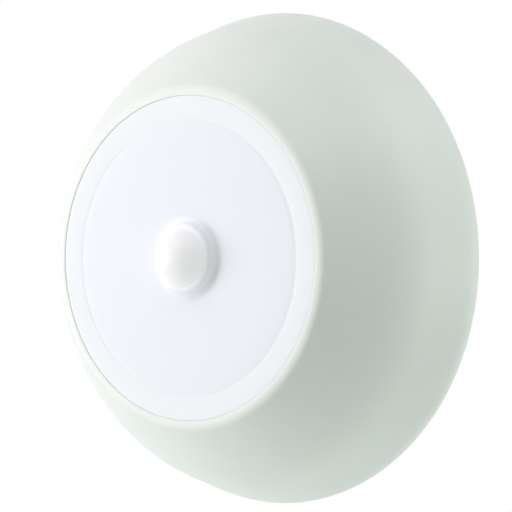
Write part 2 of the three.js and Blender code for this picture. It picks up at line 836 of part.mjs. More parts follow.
// The outline of a well across its length: a half-round cradle with straight sides up to the deck
function wellOutline(radius, rise) {
  const outline = new THREE.Shape();
  outline.moveTo(-radius, rise);
  outline.lineTo(-radius, 0);
  outline.absarc(0, 0, radius, Math.PI, 2 * Math.PI, false);
  outline.lineTo(radius, rise);
  outline.closePath();
  return outline;
}

// A well of one bay, lying along X
function well(radius, from, to, topDepth) {
  const options = { depth: to - from, bevelEnabled: false, curveSegments: smallTurn };
  const geometry = new THREE.ExtrudeGeometry(wellOutline(radius, cellDepth - topDepth), options);
  geometry.rotateX(quarterTurn);
  geometry.rotateZ(quarterTurn);
  return geometry.translate(from, bayAxis, -cellDepth);
}

function quarterTurned(geometry, k) {
  return solid(geometry.rotateZ(k * quarterTurn));
}

function batteryTray() {
  const above = deckDepth - cutOverrun;
  const envelope = shellFill(housingWall + trayGap, above, wellFloor + cutOverrun);
  const inner = shellFill(housingWall + trayGap + trayWall, above, wellFloor + cutOverrun);
  const deck = drum(rimRadius, deckDepth, deckUnderside, bigTurn);
  const turns = [0, 1, 2, 3];
  const outerWells = turns.map((k) => {
    return quarterTurned(well(bayRadius + trayWall, bayOuterEnd - trayWall, bayInnerEnd + trayWall, deckDepth), k);
  });
  const innerWells = turns.map((k) => {
    return quarterTurned(well(bayRadius, bayOuterEnd, bayInnerEnd, above), k).intersect(inner);
  });
  const holes = around(4, postCircle, 0).map((place) => {
    return drum(trayScrewShank + seatGap, above, deckUnderside + cutOverrun, smallTurn, place);
  });
  const body = join([deck, ...outerWells]).intersect(envelope);
  return piece('battery_tray', cut(body, [...innerWells, ...holes, ...stripSlots()]), innerPlastic);
}

// Slots in the well walls where the contact strips pass from bay to bay and out to the leads.
// A slot also clears the strip's edges from the well's round, which closes in below the cell's axis.
function stripSlots() {
  const half = stripHeight / 2 + slotGap;
  const tailHalf = tailHeight / 2 + slotGap;
  const closing = bayRadius - Math.sqrt(bayRadius ** 2 - half ** 2) + slotGap;
  const wallEnd = bayInnerEnd + trayWall;
  const tailY = negativeTailPlace();
  const positiveX = cellTip + seatGap - slotGap;
  const passage = () => box(
    bayOuterEnd, bayOuterEnd + closing, bayInnerEnd - stripSeat, wallEnd + closing, cellDepth - half, cellDepth + half,
  );
  const positive = box(
    positiveX, bayInnerEnd, bayInnerEnd - seatGap, wallEnd + seatGap, cellDepth - tailHalf, cellDepth + tailHalf,
  );
  const negative = box(
    bayOuterEnd - trayWall - seatGap, bayOuterEnd + seatGap,
    tailY - slotGap, tailY + stripThickness + slotGap,
    cellDepth - tailHalf, cellDepth + tailHalf,
  );
  const passages = [0, 1, 2].map((k) => quarterTurned(passage(), k));
  return [...passages, quarterTurned(positive, 0), quarterTurned(negative, 3)];
}

function trayScrews() {
  return around(4, postCircle, 0).map((place, k) => {
    const body = screw(trayScrewShank, trayScrewLength, trayScrewHead, trayScrewHeadHeight);
    const fastener = piece(`tray_screw_${k + 1}`, body, steel);
    fastener.position.set(place[0], place[1], seatGap - deckDepth);
    return fastener;
  });
}

// What one bay holds: a cell, the spring at its flat end and, in all but the last, the strip to the next bay

function cell(name) {
  const body = cellLength - nubHeight;
  const profile = [
    at(0, 0),
    at(cellRadius - cellEdge, 0),
    at(cellRadius, -cellEdge),
    at(cellRadius, cellEdge - body),
    at(cellRadius - cellEdge, -body),
    at(nubRadius, -body),
    at(nubRadius, -cellLength),
    at(0, -cellLength),
  ];
  const round = piece(name, revolve(profile, cellTurn), cellJacket);
  round.rotation.y = quarterTurn;
  round.position.set(cellTip - cellLength, bayAxis, -cellDepth);
  return round;
}

// The middle line of a conical spring that narrows as it rises from z = 0
class ConeHelix extends THREE.Curve {
  getPoint(share) {
    const angle = share * springTurns * 2 * Math.PI;
    const radius = springBase + (springTip - springBase) * share;
    const rise = springWire / 2 + (springLength - springWire) * share;
    return new THREE.Vector3(radius * Math.cos(angle), radius * Math.sin(angle), rise);
  }
}

// A round wire swept along a curve as one closed tube
function sweptWire(curve, radius, sides, steps) {
  const middles = Array.from({ length: steps + 1 }, (_, k) => curve.getPoint(k / steps));
  const up = new THREE.Vector3(0, 0, 1);
  const places = [];
  middles.forEach((middle, k) => {
    const ahead = middles[Math.min(k + 1, steps)].clone().sub(middles[Math.max(k - 1, 0)]).normalize();
    const side = ahead.clone().cross(up).normalize();
    const across = side.clone().cross(ahead);
    for (let s = 0; s < sides; s++) {
      const angle = (s * 2 * Math.PI) / sides;
      const place = middle.clone().addScaledVector(side, radius * Math.cos(angle));
      places.push(place.addScaledVector(across, radius * Math.sin(angle)));
    }
  });
  const faces = [];
  for (let k = 0; k < steps; k++) {
    for (let s = 0; s < sides; s++) {
      const [a, b] = [k * sides + s, k * sides + ((s + 1) % sides)];
      faces.push(a, b, a + sides, b, b + sides, a + sides);
    }
  }
  const last = steps * sides;
  for (let s = 1; s < sides - 1; s++) {
    faces.push(0, s + 1, s, last, last + s, last + s + 1);
  }
  const geometry = new THREE.BufferGeometry().setFromPoints(places);
  geometry.setIndex(faces);
  return geometry;
}

// The smallest clear distance between a spring's neighbouring turns
function leastTurnGap(curve, radius) {
  const steps = springTurns * 24;
  const middles = Array.from({ length: steps + 1 }, (_, k) => curve.getPoint(k / steps));
  let least = Infinity;
  middles.forEach((a, i) => {
    for (let j = i + 12; j <= steps; j++) least = Math.min(least, a.distanceTo(middles[j]));
  });
  return least - 2 * radius;
}

function contactSpring(name) {
  const wire = sweptWire(new ConeHelix(), springWire / 2, 5, springTurns * 8);
  const spring = piece(name, solid(wire), nickel);
  spring.rotation.y = quarterTurn;
  spring.position.set(springStart, bayAxis, -cellDepth);
  return spring;
}

// A strip bent once: behind the spring of its own bay, then through the wall and in front of the next bay's cell
function contactBridge(name) {
  const outer = bayOuterEnd + seatGap;
  const next = bayInnerEnd - seatGap;
  const outline = new THREE.Shape([
    new THREE.Vector2(outer, bayAxis + contactReach),
    new THREE.Vector2(outer, next - stripThickness),
    new THREE.Vector2(contactReach - bayAxis, next - stripThickness),
    new THREE.Vector2(contactReach - bayAxis, next),
    new THREE.Vector2(outer + stripThickness, next),
    new THREE.Vector2(outer + stripThickness, bayAxis + contactReach),
  ]);
  const half = stripHeight / 2;
  return piece(name, solid(prism(outline, cellDepth - half, cellDepth + half)), nickel);
}

const positiveTailEnd = bayInnerEnd - tailLength - seatGap;

// The first cell's strip: a plate against its raised contact, and a tail through the wall into the middle
function positiveTerminal() {
  const half = stripHeight / 2;
  const tail = tailHeight / 2;
  const fromX = bayInnerEnd - seatGap - stripThickness;
  const toX = bayInnerEnd - seatGap;
  const plate = box(fromX, toX, bayAxis - contactReach, bayAxis + contactReach, cellDepth - half, cellDepth + half);
  const arm = box(fromX, toX, positiveTailEnd, bayAxis, cellDepth - tail, cellDepth + tail);
  const footEnd = positiveTailEnd + stripThickness;
  const foot = box(toX - tailLength, toX, positiveTailEnd, footEnd, cellDepth - tail, cellDepth + tail);
  return piece('terminal_positive', join([solid(plate), solid(arm), solid(foot)]), nickel);
}

function negativeTailPlace() {
  return bayAxis - contactReach - tailHeight;
}

// The last cell's strip: a plate behind its spring, and a tail out through the end of the well
function negativeTerminal() {
  const half = stripHeight / 2;
  const tail = tailHeight / 2;
  const fromX = bayOuterEnd + seatGap;
  const toX = fromX + stripThickness;
  const tailY = negativeTailPlace();
  const plate = box(fromX, toX, bayAxis - contactReach, bayAxis + contactReach, cellDepth - half, cellDepth + half);
  const arm = box(fromX, toX, tailY, bayAxis, cellDepth - tail, cellDepth + tail);
  const tailEnd = bayOuterEnd - trayWall - tailLength;
  const foot = box(tailEnd, toX, tailY, tailY + stripThickness, cellDepth - tail, cellDepth + tail);
  return piece('terminal_negative', join([solid(plate), solid(arm), solid(foot)]), nickel);
}

function bay(k) {
  const group = new THREE.Group();
  group.rotation.z = k * quarterTurn;
  group.add(cell(`battery_cell_${k + 1}`), contactSpring(`contact_spring_${k + 1}`));
  group.add(k < 3 ? contactBridge(`contact_bridge_${k + 1}`) : negativeTerminal());
  if (k === 0) group.add(positiveTerminal());
  return group;
}

// Leads. Their points are plan places and depths, chosen along the free space between wells, posts and board.

const pinSide = pinPitch / 2;
const leadBelow = cellDepth + tailHeight / 2 + seatGap;
const leadAbove = plugTop - seatGap;
const underWells = boardBackDepth - seatGap - wireRadius - solderGap / 2;

function lead(name, stations, finish) {
  const route = new THREE.CatmullRomCurve3(stations.map(([x, y, depth]) => new THREE.Vector3(x, y, -depth)));
  const ring = new THREE.Shape(around(wireSides, wireRadius, 0).map(([x, y]) => new THREE.Vector2(x, y)));
  const options = { steps: leadSteps, extrudePath: route, bevelEnabled: false };
  return piece(name, solid(new THREE.ExtrudeGeometry(ring, options)), finish);
}

// From the first cell's tail, over the parts in the middle and down into the plug
function redLead() {
  const x = bayInnerEnd - seatGap - tailLength + wireRadius;
  const y = positiveTailEnd + stripThickness / 2;
  const [plugX, plugY] = socketPlace;
  return lead('red_lead', [
    [x, y, leadBelow],
    [x, y, leadBelow + 1.6],
    [x - 1.5, y - 1.8, leadBelow + 3.4],
    [x - 5, y - 5.2, leadBelow + 4.6],
    [plugX + pinSide + 2.2, plugY + 1.4, leadBelow + 5.2],
    [plugX + pinSide + 0.2, plugY + 0.1, leadBelow + 6.8],
    [plugX + pinSide, plugY, leadAbove - 1.4],
    [plugX + pinSide, plugY, leadAbove],
  ], redCover);
}

// From the last cell's tail, down outside its well, under the wells to the middle and up into the plug
function blackLead() {
  const tailX = bayOuterEnd - trayWall - tailLength + wireRadius;
  const tailY = negativeTailPlace() + stripThickness / 2;
  const [plugX, plugY] = socketPlace;
  const turned = ([x, y, depth]) => [y, -x, depth];
  const alongWell = [
    [tailX, tailY, leadBelow],
    [tailX, tailY, leadBelow + 2],
    [tailX + 0.4, tailY - 0.9, leadBelow + 6.5],
    [tailX + 1.2, tailY - 1.8, leadBelow + 10.9],
    [tailX + 3.2, tailY - 2.7, leadBelow + 14.1],
    [tailX + 7.3, tailY - 3.7, leadBelow + 16.7],
    [tailX + 13, tailY - 4.8, underWells],
    [tailX + 24, tailY - 6.2, underWells],
    [tailX + 36, tailY - 8.6, underWells],
  ].map(turned);
  return lead('black_lead', [
    ...alongWell,
    [13.2, 13.6, underWells],
    [5, 10.8, underWells - 0.6],
    [-4, 10.2, underWells - 3],
    [-10.2, 8, underWells - 7.4],
    [-10.6, 4.2, leadAbove - 5.4],
    [plugX - pinSide - 2.6, plugY + 0.6, leadAbove - 7],
    [plugX - pinSide - 0.2, plugY, leadAbove - 5],
    [plugX - pinSide, plugY, leadAbove - 1.4],
    [plugX - pinSide, plugY, leadAbove],
  ], blackCover);
}

console.log('least gap between spring turns, mm:', leastTurnGap(new ConeHelix(), springWire / 2).toFixed(2));

const lamp = new THREE.Group();
lamp.add(mountingPlate(), housing(), lens(), sensorDome(), sensorShroud(), sensorRiser(), pirSensor(), lightSensor());
lamp.add(reflector(), ledBoard(), ...leds(), ...boardScrews());
lamp.add(controlChip(), driverInductor(), storageCapacitor(), leadSocket(), leadPlug());
lamp.add(batteryTray(), ...trayScrews(), ...[0, 1, 2, 3].map(bay), redLead(), blackLead());

export default lamp;
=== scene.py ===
# %% [markdown]
# # A sensor ceiling light, dressed for its portrait
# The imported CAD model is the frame: every piece keeps its place from it. The camera looks up at the lamp from
# the side, as in the photograph, and the mounting plate lies against the ceiling plane z = 0.

# %% Load the frame
import math

import bmesh
import bpy
from mathutils import Matrix, Vector


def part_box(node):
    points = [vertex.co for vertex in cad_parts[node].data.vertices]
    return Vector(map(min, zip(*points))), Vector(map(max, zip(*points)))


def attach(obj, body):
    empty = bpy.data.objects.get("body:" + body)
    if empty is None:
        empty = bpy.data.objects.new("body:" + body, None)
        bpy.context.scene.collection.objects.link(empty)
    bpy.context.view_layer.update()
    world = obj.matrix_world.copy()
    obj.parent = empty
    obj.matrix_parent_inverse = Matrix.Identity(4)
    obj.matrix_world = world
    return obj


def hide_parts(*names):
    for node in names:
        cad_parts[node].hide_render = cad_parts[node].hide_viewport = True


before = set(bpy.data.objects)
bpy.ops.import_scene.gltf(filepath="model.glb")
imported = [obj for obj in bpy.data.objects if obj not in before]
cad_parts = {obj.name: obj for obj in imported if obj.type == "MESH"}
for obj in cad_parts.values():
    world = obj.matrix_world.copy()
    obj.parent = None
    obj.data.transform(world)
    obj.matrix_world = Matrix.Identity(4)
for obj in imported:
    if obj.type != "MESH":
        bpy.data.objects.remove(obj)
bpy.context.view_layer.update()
MM = 0.001

# %% [markdown]
# ## Shader arithmetic
# A `Value` wraps one socket, so that masks read as sums. A `Shader` makes nodes by type.

# %% Shader helpers


class Value:
    """A number that varies over a surface, with the usual operators."""

    def __init__(self, shader, socket):
        self.shader = shader
        self.socket = socket

    def _math(self, operation, first, second=0.0):
        node = self.shader.add("ShaderNodeMath", {"operation": operation}, {0: first, 1: second})
        return Value(self.shader, node.outputs[0])

    def __add__(self, other):
        return self._math("ADD", self, other)

    __radd__ = __add__

    def __sub__(self, other):
        return self._math("SUBTRACT", self, other)

    def __rsub__(self, other):
        return self._math("SUBTRACT", other, self)

    def __mul__(self, other):
        return self._math("MULTIPLY", self, other)

    __rmul__ = __mul__

    def __truediv__(self, other):
        return self._math("DIVIDE", self, other)

    def __pow__(self, other):
        return self._math("POWER", self, other)

    def size(self):
        """The value without its sign."""
        return self._math("ABSOLUTE", self)

    def fraction(self):
        """What is left above the next whole number down."""
        return self._math("FRACT", self)

    def over(self, low, high):
        """0 below low, 1 above high, smooth in between."""
        settings = {"interpolation_type": "SMOOTHSTEP"}
        inputs = {"Value": self, "From Min": low, "From Max": high}
        node = self.shader.add("ShaderNodeMapRange", settings, inputs)
        return Value(self.shader, node.outputs["Result"])

    def near(self, middle, reach, edge):
        """1 within reach of middle, falling to 0 over edge beyond it."""
        return 1.0 - (self - middle).size().over(reach, reach + edge)


class Shader:
    """One material on Object coordinates. Its slot is the record's name for the finish."""

    def __init__(self, name, slot, **constants):
        self.material = bpy.data.materials.new(name)
        self.material.use_nodes = True
        self.slot = slot
        self.tree = self.material.node_tree
        self.surface = self.tree.nodes["Principled BSDF"]
        for socket, value in constants.items():
            self.surface.inputs[socket.replace("_", " ")].default_value = value
        self.coordinates = self.add("ShaderNodeTexCoord", {}, {}).outputs["Object"]

    def add(self, kind, settings, inputs):
        """A node of this kind, with its settings and the values or links of its sockets."""
        node = self.tree.nodes.new(kind)
        for key, value in settings.items():
            setattr(node, key, value)
        for key, value in inputs.items():
            if isinstance(value, Value):
                value = value.socket
            if isinstance(value, bpy.types.NodeSocket):
                self.tree.links.new(value, node.inputs[key])
            else:
                node.inputs[key].default_value = value
        return node

    def noise(self, scale, detail=2.0, roughness=0.5, place=None):
        inputs = {"Vector": place or self.coordinates, "Scale": scale}
        inputs.update({"Detail": detail, "Roughness": roughness})
        return Value(self, self.add("ShaderNodeTexNoise", {}, inputs).outputs["Fac"])

    def axis(self, name):
        split = self.add("ShaderNodeSeparateXYZ", {}, {0: self.coordinates})
        return Value(self, split.outputs[name])

    def radius(self):
        """Distance from the lamp's axis."""
        level = {0: self.coordinates, 1: (1.0, 1.0, 0.0)}
        flat = self.add("ShaderNodeVectorMath", {"operation": "MULTIPLY"}, level)
        length = self.add("ShaderNodeVectorMath", {"operation": "LENGTH"}, {0: flat.outputs[0]})
        return Value(self, length.outputs["Value"])

    def bearing(self):
        """The angle round the lamp's axis, in turns from -0.5 to 0.5."""
        sides = {0: self.axis("Y"), 1: self.axis("X")}
        angle = self.add("ShaderNodeMath", {"operation": "ARCTAN2"}, sides)
        return Value(self, angle.outputs[0]) / (2.0 * math.pi)

    def turned(self, quarter_turns):
        """Turns the pattern about the lamp's axis, for pieces that repeat by quarter turns."""
        turn = (0.0, 0.0, -math.pi / 2 * quarter_turns)
        node = self.add("ShaderNodeMapping", {}, {"Vector": self.coordinates, "Rotation": turn})
        self.coordinates = node.outputs[0]

    def stretched(self, scale):
        """The pattern's place, drawn out along the axes where scale is small."""
        return self.add("ShaderNodeMapping", {}, {"Vector": self.coordinates, "Scale": scale}).outputs[0]

    def mix(self, factor, a, b):
        """Colour a where factor is 0, colour b where it is 1."""
        node = self.add("ShaderNodeMix", {"data_type": "RGBA"}, {"Factor": factor, 6: a, 7: b})
        return node.outputs[2]

    def paint(self, **varying):
        """Links values or colours to the sockets of the surface."""
        for socket, value in varying.items():
            socket = self.surface.inputs[socket.replace("_", " ")]
            self.tree.links.new(value.socket if isinstance(value, Value) else value, socket)
        return self

    def bump(self, height, distance, strength):
        node = self.add("ShaderNodeBump", {}, {"Height": height, "Distance": distance, "Strength": strength})
        return self.paint(Normal=node.outputs["Normal"])


def rgb(red, green, blue):
    return (red, green, blue, 1.0)


print("shader helpers ready")

# %% [markdown]
# ## The camera
# The photograph looks up at the lamp, 39.5 degrees off its axis, from far away with a long lens. The frame's +X
# runs to the picture's left, and the rim is centred a little right of the picture's middle.

# %% Camera
OFF_AXIS = math.radians(39.5)
PICTURE = 512
SCALE = 2.952 / MM  # pixels for each metre at the rim
DISTANCE = 2.5  # metres
RIM_BACK = Vector((0.0, 0.0, -0.8 * MM))
RIM_SEEN_AT = (287.7, 258.1)  # pixels from the left and the top
FAR_CLIP = 100.0

right = Vector((-math.cos(OFF_AXIS), 0.0, math.sin(OFF_AXIS)))
up = Vector((0.0, 1.0, 0.0))
back = right.cross(up)
off_right, off_down = (place - PICTURE / 2 for place in RIM_SEEN_AT)
aim = RIM_BACK - right * off_right / SCALE + up * off_down / SCALE
turned_to_lamp = Matrix((right, up, back)).transposed().to_4x4()
lens_data = bpy.data.cameras.new("photo_camera")
lens_data.lens = lens_data.sensor_width * SCALE * DISTANCE / PICTURE
lens_data.clip_end = FAR_CLIP
camera = bpy.data.objects.new("photo_camera", lens_data)
camera.matrix_world = Matrix.Translation(aim + back * DISTANCE) @ turned_to_lamp
bpy.context.scene.collection.objects.link(camera)
bpy.context.scene.camera = camera
bpy.context.scene.view_settings.view_transform = "Standard"
print("camera lens, mm:", round(lens_data.lens, 1))


# %% [markdown]
# ## Light
# Six soft boxes stand round the lamp, named by where the picture shows them. The one on the left is the
# strongest, so the side of the lamp that faces the camera falls away to a soft grey. The room adds a fill that is
# strongest from below, as from a pale floor. The camera and glossy surfaces see plain white in place of the room.

# %% Lights and backdrop
BOX_DISTANCE = 1.8  # metres
BOX_SIZE = 1.2
LAMP_MIDDLE = Vector((0.0, 0.0, -0.03))
FLOOR_DEPTH = 2.6
FLOOR_HALF_WIDTH = 2.0
WARM = (1.0, 0.989, 0.993)
COOL = (0.912, 1.0, 0.929)
SOFT_BOXES = {  # direction in the picture (across, upward, toward the camera), power in watts, tint
    "left": ((-1.0, 0.0, 0.0), 21.0, WARM),
    "high_left": ((-0.7, 0.7, 0.2), 11.1, WARM),
    "high": ((0.0, 1.0, 0.1), 1.7, COOL),
    "high_front": ((0.0, 0.8, 0.6), 7.7, COOL),
    "high_right": ((0.7, 0.7, 0.1), 10.0, COOL),
    "right": ((1.0, 0.0, 0.1), 11.0, COOL),
}
ROOM_STRENGTH = 1.147  # straight up from below; it fades to nothing a quarter turn away
ROOM_TINT = (0.887, 1.0, 0.913)


def seen_from(across, upward, toward):
    """A direction given in the picture, as one in the frame."""
    return (right * across + up * upward + back * toward).normalized()


for name, (direction, power, tint) in SOFT_BOXES.items():
    heading = seen_from(*direction)
    data = bpy.data.lights.new(name, "AREA")
    data.size = BOX_SIZE
    data.energy = power
    data.color = tint
    light = bpy.data.objects.new(name, data)
    light.location = LAMP_MIDDLE + heading * BOX_DISTANCE
    light.rotation_euler = heading.to_track_quat("Z", "Y").to_euler()
    bpy.context.scene.collection.objects.link(light)

world = bpy.data.worlds.new("room")
bpy.context.scene.world = world
world.use_nodes = True
sky = world.node_tree
white = sky.nodes["Background"]
white.inputs["Color"].default_value = rgb(1.0, 1.0, 1.0)
facing = sky.nodes.new("ShaderNodeTexCoord").outputs["Generated"]
downward = sky.nodes.new("ShaderNodeVectorMath")
downward.operation = "DOT_PRODUCT"
downward.inputs[1].default_value = seen_from(0.0, -1.0, 0.0) * ROOM_STRENGTH
below = sky.nodes.new("ShaderNodeMath")
below.operation = "MAXIMUM"
below.inputs[1].default_value = 0.0
fill = sky.nodes.new("ShaderNodeBackground")
fill.inputs["Color"].default_value = rgb(*ROOM_TINT)
sky.links.new(facing, downward.inputs[0])
sky.links.new(downward.outputs["Value"], below.inputs[0])
sky.links.new(below.outputs[0], fill.inputs["Strength"])
path = sky.nodes.new("ShaderNodeLightPath")
sees_white = path.outputs["Is Camera Ray"]
for ray in ("Is Glossy Ray", "Is Transmission Ray"):
    either = sky.nodes.new("ShaderNodeMath")
    either.operation = "MAXIMUM"
    sky.links.new(sees_white, either.inputs[0])
    sky.links.new(path.outputs[ray], either.inputs[1])
    sees_white = either.outputs[0]
backdrop = sky.nodes.new("ShaderNodeMixShader")
sky.links.new(sees_white, backdrop.inputs["Fac"])
sky.links.new(fill.outputs[0], backdrop.inputs[1])
sky.links.new(white.outputs[0], backdrop.inputs[2])
sky.links.new(backdrop.outputs[0], sky.nodes["World Output"].inputs["Surface"])

paper = Shader("pale_floor", None, Roughness=0.9, Emission_Strength=0.5)
camera_ray = Value(paper, paper.add("ShaderNodeLightPath", {}, {}).outputs["Is Camera Ray"])
paper.paint(
    Base_Color=paper.mix(paper.noise(3.0), rgb(0.88, 0.88, 0.88), rgb(0.9, 0.9, 0.9)),
    Emission_Color=paper.mix(camera_ray, rgb(0.0, 0.0, 0.0), rgb(1.0, 1.0, 1.0)),
)
sheet = bmesh.new()
bmesh.ops.create_grid(sheet, x_segments=4, y_segments=4, size=FLOOR_HALF_WIDTH)
bmesh.ops.translate(sheet, verts=sheet.verts, vec=(0.0, 0.0, -FLOOR_DEPTH))
floor_mesh = bpy.data.meshes.new("floor")
sheet.to_mesh(floor_mesh)
sheet.free()
floor_mesh.materials.append(paper.material)
floor = bpy.data.objects.new("floor", floor_mesh)
bpy.context.scene.collection.objects.link(floor)

# %% [markdown]
# ## Materials
# The shell is a satin white moulding with a very fine spark texture. The lens is frosted and a little blue, the
# sensor dome is a milky film, both with a painted glow, and each inner part has the finish such parts are sold
# with.


# %% Plastics
def moulded(name, slot, light, shade, rough, grain, depth, **constants):
    """A moulded plastic: slow colour drift from its flow, patchy gloss and a fine surface grain."""
    shader = Shader(name, slot, **constants)
    flow = shader.noise(38.0, 3.0, 0.6)
    grit = shader.noise(grain, 4.0, 0.62)
    shader.paint(
        Base_Color=shader.mix(flow.over(0.35, 0.68), light, shade),
        Roughness=rough - 0.03 + 0.05 * shader.noise(120.0, 2.0) + 0.03 * grit,
    )
    return shader.bump(grit + 0.25 * shader.noise(grain / 5, 2.0), depth, 0.6)


shell_plastic = moulded(
    "shell_plastic", "shell_plastic", rgb(0.86, 0.868, 0.852), rgb(0.846, 0.855, 0.838),
    rough=0.42, grain=2600.0, depth=0.03 * MM, Specular_IOR_Level=0.4,
)
tray_plastic = moulded(
    "tray_plastic", "tray_plastic", rgb(0.79, 0.80, 0.78), rgb(0.765, 0.775, 0.755),
    rough=0.52, grain=1500.0, depth=0.06 * MM,
)
black_component = moulded(
    "black_component", "black_component", rgb(0.028, 0.028, 0.03), rgb(0.045, 0.045, 0.048),
    rough=0.5, grain=1800.0, depth=0.05 * MM,
)
lead_red = moulded(
    "lead_red", "lead_red", rgb(0.52, 0.03, 0.02), rgb(0.6, 0.05, 0.035),
    rough=0.45, grain=900.0, depth=0.03 * MM,
)
lead_black = moulded(
    "lead_black", "lead_black", rgb(0.02, 0.02, 0.022), rgb(0.035, 0.035, 0.037),
    rough=0.45, grain=900.0, depth=0.03 * MM,
)
sensor_clear = moulded(
    "sensor_clear", "sensor_clear", rgb(0.5, 0.66, 0.7), rgb(0.56, 0.72, 0.75),
    rough=0.12, grain=700.0, depth=0.01 * MM, Coat_Weight=0.5,
)
print("plastics made")


# %% Lens and dome
DOME_PAINTED_GLOW = 0.43  # painted glow: an even emission that stands for the light that a milky plastic carries through from its bright side
# painted glow on the lens: an emission, full round the sensor boss, that lifts the boss's shaded side and the
# shadow beside it
BOSS_PAINTED_GLOW = 0.18
LENS_BAND = (45.4 * MM, 47.8 * MM)  # radii between which the middle turns into the edge band
PAINTED_GLOW_FADE = (12.1 * MM, 14.5 * MM)  # radii between which the painted glow round the boss falls to the fainter painted glow of the rest of the lens


def frosted_lens():
    """Frosted acrylic: blue-white, with an edge band of a slightly other tone, a fine matte etch and a painted
    glow that is strongest round the sensor boss.
    """
    shader = Shader("lens_frosted", "lens_frosted", Emission_Strength=BOSS_PAINTED_GLOW)
    radius = shader.radius()
    band = radius.over(*LENS_BAND)
    haze = shader.noise(60.0, 3.0)
    middle = shader.mix(haze, rgb(0.742, 0.742, 0.808), rgb(0.73, 0.731, 0.798))
    etch = shader.noise(3200.0, 3.0, 0.6)
    shader.paint(
        Base_Color=shader.mix(band, middle, rgb(0.744, 0.745, 0.79)),
        # painted glow: full strength round the boss, 0.44 of it over the rest of the lens
        Emission_Color=shader.mix(radius.over(*PAINTED_GLOW_FADE), rgb(1.0, 1.0, 1.0), rgb(0.44, 0.44, 0.44)),
        Roughness=0.4 + 0.06 * etch - 0.05 * band,
    )
    return shader.bump(etch, 0.03 * MM, 0.5)


def milky_dome():
    """Thin milky film, with a faint cloud in its tone and its gloss, and an even painted glow."""
    # painted glow: the dome emits evenly, though it is no lamp
    glow = {"Emission_Color": rgb(1.0, 1.0, 1.0), "Emission_Strength": DOME_PAINTED_GLOW}
    shader = Shader("dome_milky", "dome_milky", Specular_IOR_Level=0.25, **glow)
    cloud = shader.noise(260.0, 2.0)
    shader.paint(
        Base_Color=shader.mix(cloud.over(0.35, 0.65), rgb(0.53, 0.51, 0.53), rgb(0.518, 0.5, 0.518)),
        Roughness=0.4 + 0.05 * shader.noise(500.0, 2.0),
    )
    return shader.bump(shader.noise(1400.0, 2.0), 0.02 * MM, 0.4)


lens_frosted = frosted_lens()
dome_milky = milky_dome()
print("lens and dome made")

# %% [markdown]
# ## Finishes of the inner parts
# Bare metal gets fine drawn lines and a stain. The board's white mask shows the copper that joins its emitters
# as a slight rise, and its edge shows the glass fibre. All the emitters share one material: the angle round the
# axis is folded into one eighth of a turn, so that the yellow disc lands in the middle of each of them.


# %% Metals
def plated(name, slot, light, stained, rough, drawn):
    """Bare metal with lines drawn along one axis and a polish that is never even."""
    shader = Shader(name, slot, Metallic=1.0)
    lines = shader.noise(1400.0, 2.0, 0.5, place=shader.stretched(drawn))
    stain = shader.noise(170.0, 3.0, 0.6)
    shader.paint(
        Base_Color=shader.mix(stain.over(0.4, 0.75), light, stained),
        Roughness=rough + 0.12 * lines + 0.08 * stain,
    )
    return shader.bump(lines, 0.02 * MM, 0.5)


contact_nickel = plated(
    "contact_nickel", "contact_nickel", rgb(0.72, 0.70, 0.66), rgb(0.6, 0.575, 0.52),
    rough=0.2, drawn=(1.0, 1.0, 0.04),
)
screw_steel = plated(
    "screw_steel", "screw_steel", rgb(0.66, 0.68, 0.7), rgb(0.6, 0.58, 0.5),
    rough=0.26, drawn=(0.15, 1.0, 1.0),
)


def sensor_can():
    """The infrared sensor's nickel can, with its dark filter window in the front face."""
    shader = Shader("sensor_can", "contact_nickel")
    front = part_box("pir_sensor")[0][2]
    half = 1.7 * MM
    blur = 0.05 * MM
    window = shader.axis("X").near(0.0, half, blur) * shader.axis("Y").near(0.0, half, blur)
    window = window * (1.0 - shader.axis("Z").over(front + 0.5 * MM, front + 0.6 * MM))
    spun_lines = shader.noise(2600.0, 2.0, 0.5, place=shader.stretched((1.0, 1.0, 0.1)))
    shader.paint(
        Base_Color=shader.mix(window, rgb(0.7, 0.68, 0.62), rgb(0.05, 0.04, 0.055)),
        Metallic=1.0 - window,
        Roughness=0.24 + 0.12 * spun_lines - 0.12 * window,
    )
    return shader.bump(spun_lines, 0.01 * MM, 0.4)


pir_can = sensor_can()
print("metals made")


# %% Board, emitters and cells
EMITTERS = 8
EMITTER_CIRCLE = 30.0 * MM
TRACK_CIRCLES = (24.6 * MM, 26.4 * MM, 35.2 * MM, 51.0 * MM)
BOARD_EDGE = 58.2 * MM


def solder_mask():
    """White mask, raised where copper runs under it, and bare glass fibre at the board's edge."""
    shader = Shader("board_white", "board_white", Coat_Roughness=0.3)
    radius = shader.radius()
    grain = shader.noise(1500.0, 3.0)
    copper = radius.near(EMITTER_CIRCLE, 1.6 * MM, 0.15 * MM)
    for track in TRACK_CIRCLES:
        copper = copper + radius.near(track, 0.3 * MM, 0.1 * MM)
    edge = radius.over(BOARD_EDGE, BOARD_EDGE + 0.05 * MM)
    mask = shader.mix(copper, rgb(0.80, 0.82, 0.79), rgb(0.845, 0.85, 0.80))
    shader.paint(
        Base_Color=shader.mix(edge, mask, rgb(0.62, 0.6, 0.38)),
        Roughness=0.3 + 0.08 * grain + 0.3 * edge,
        Coat_Weight=0.35 - 0.35 * edge,
    )
    return shader.bump(copper + 0.06 * grain, 0.08 * MM, 0.8)


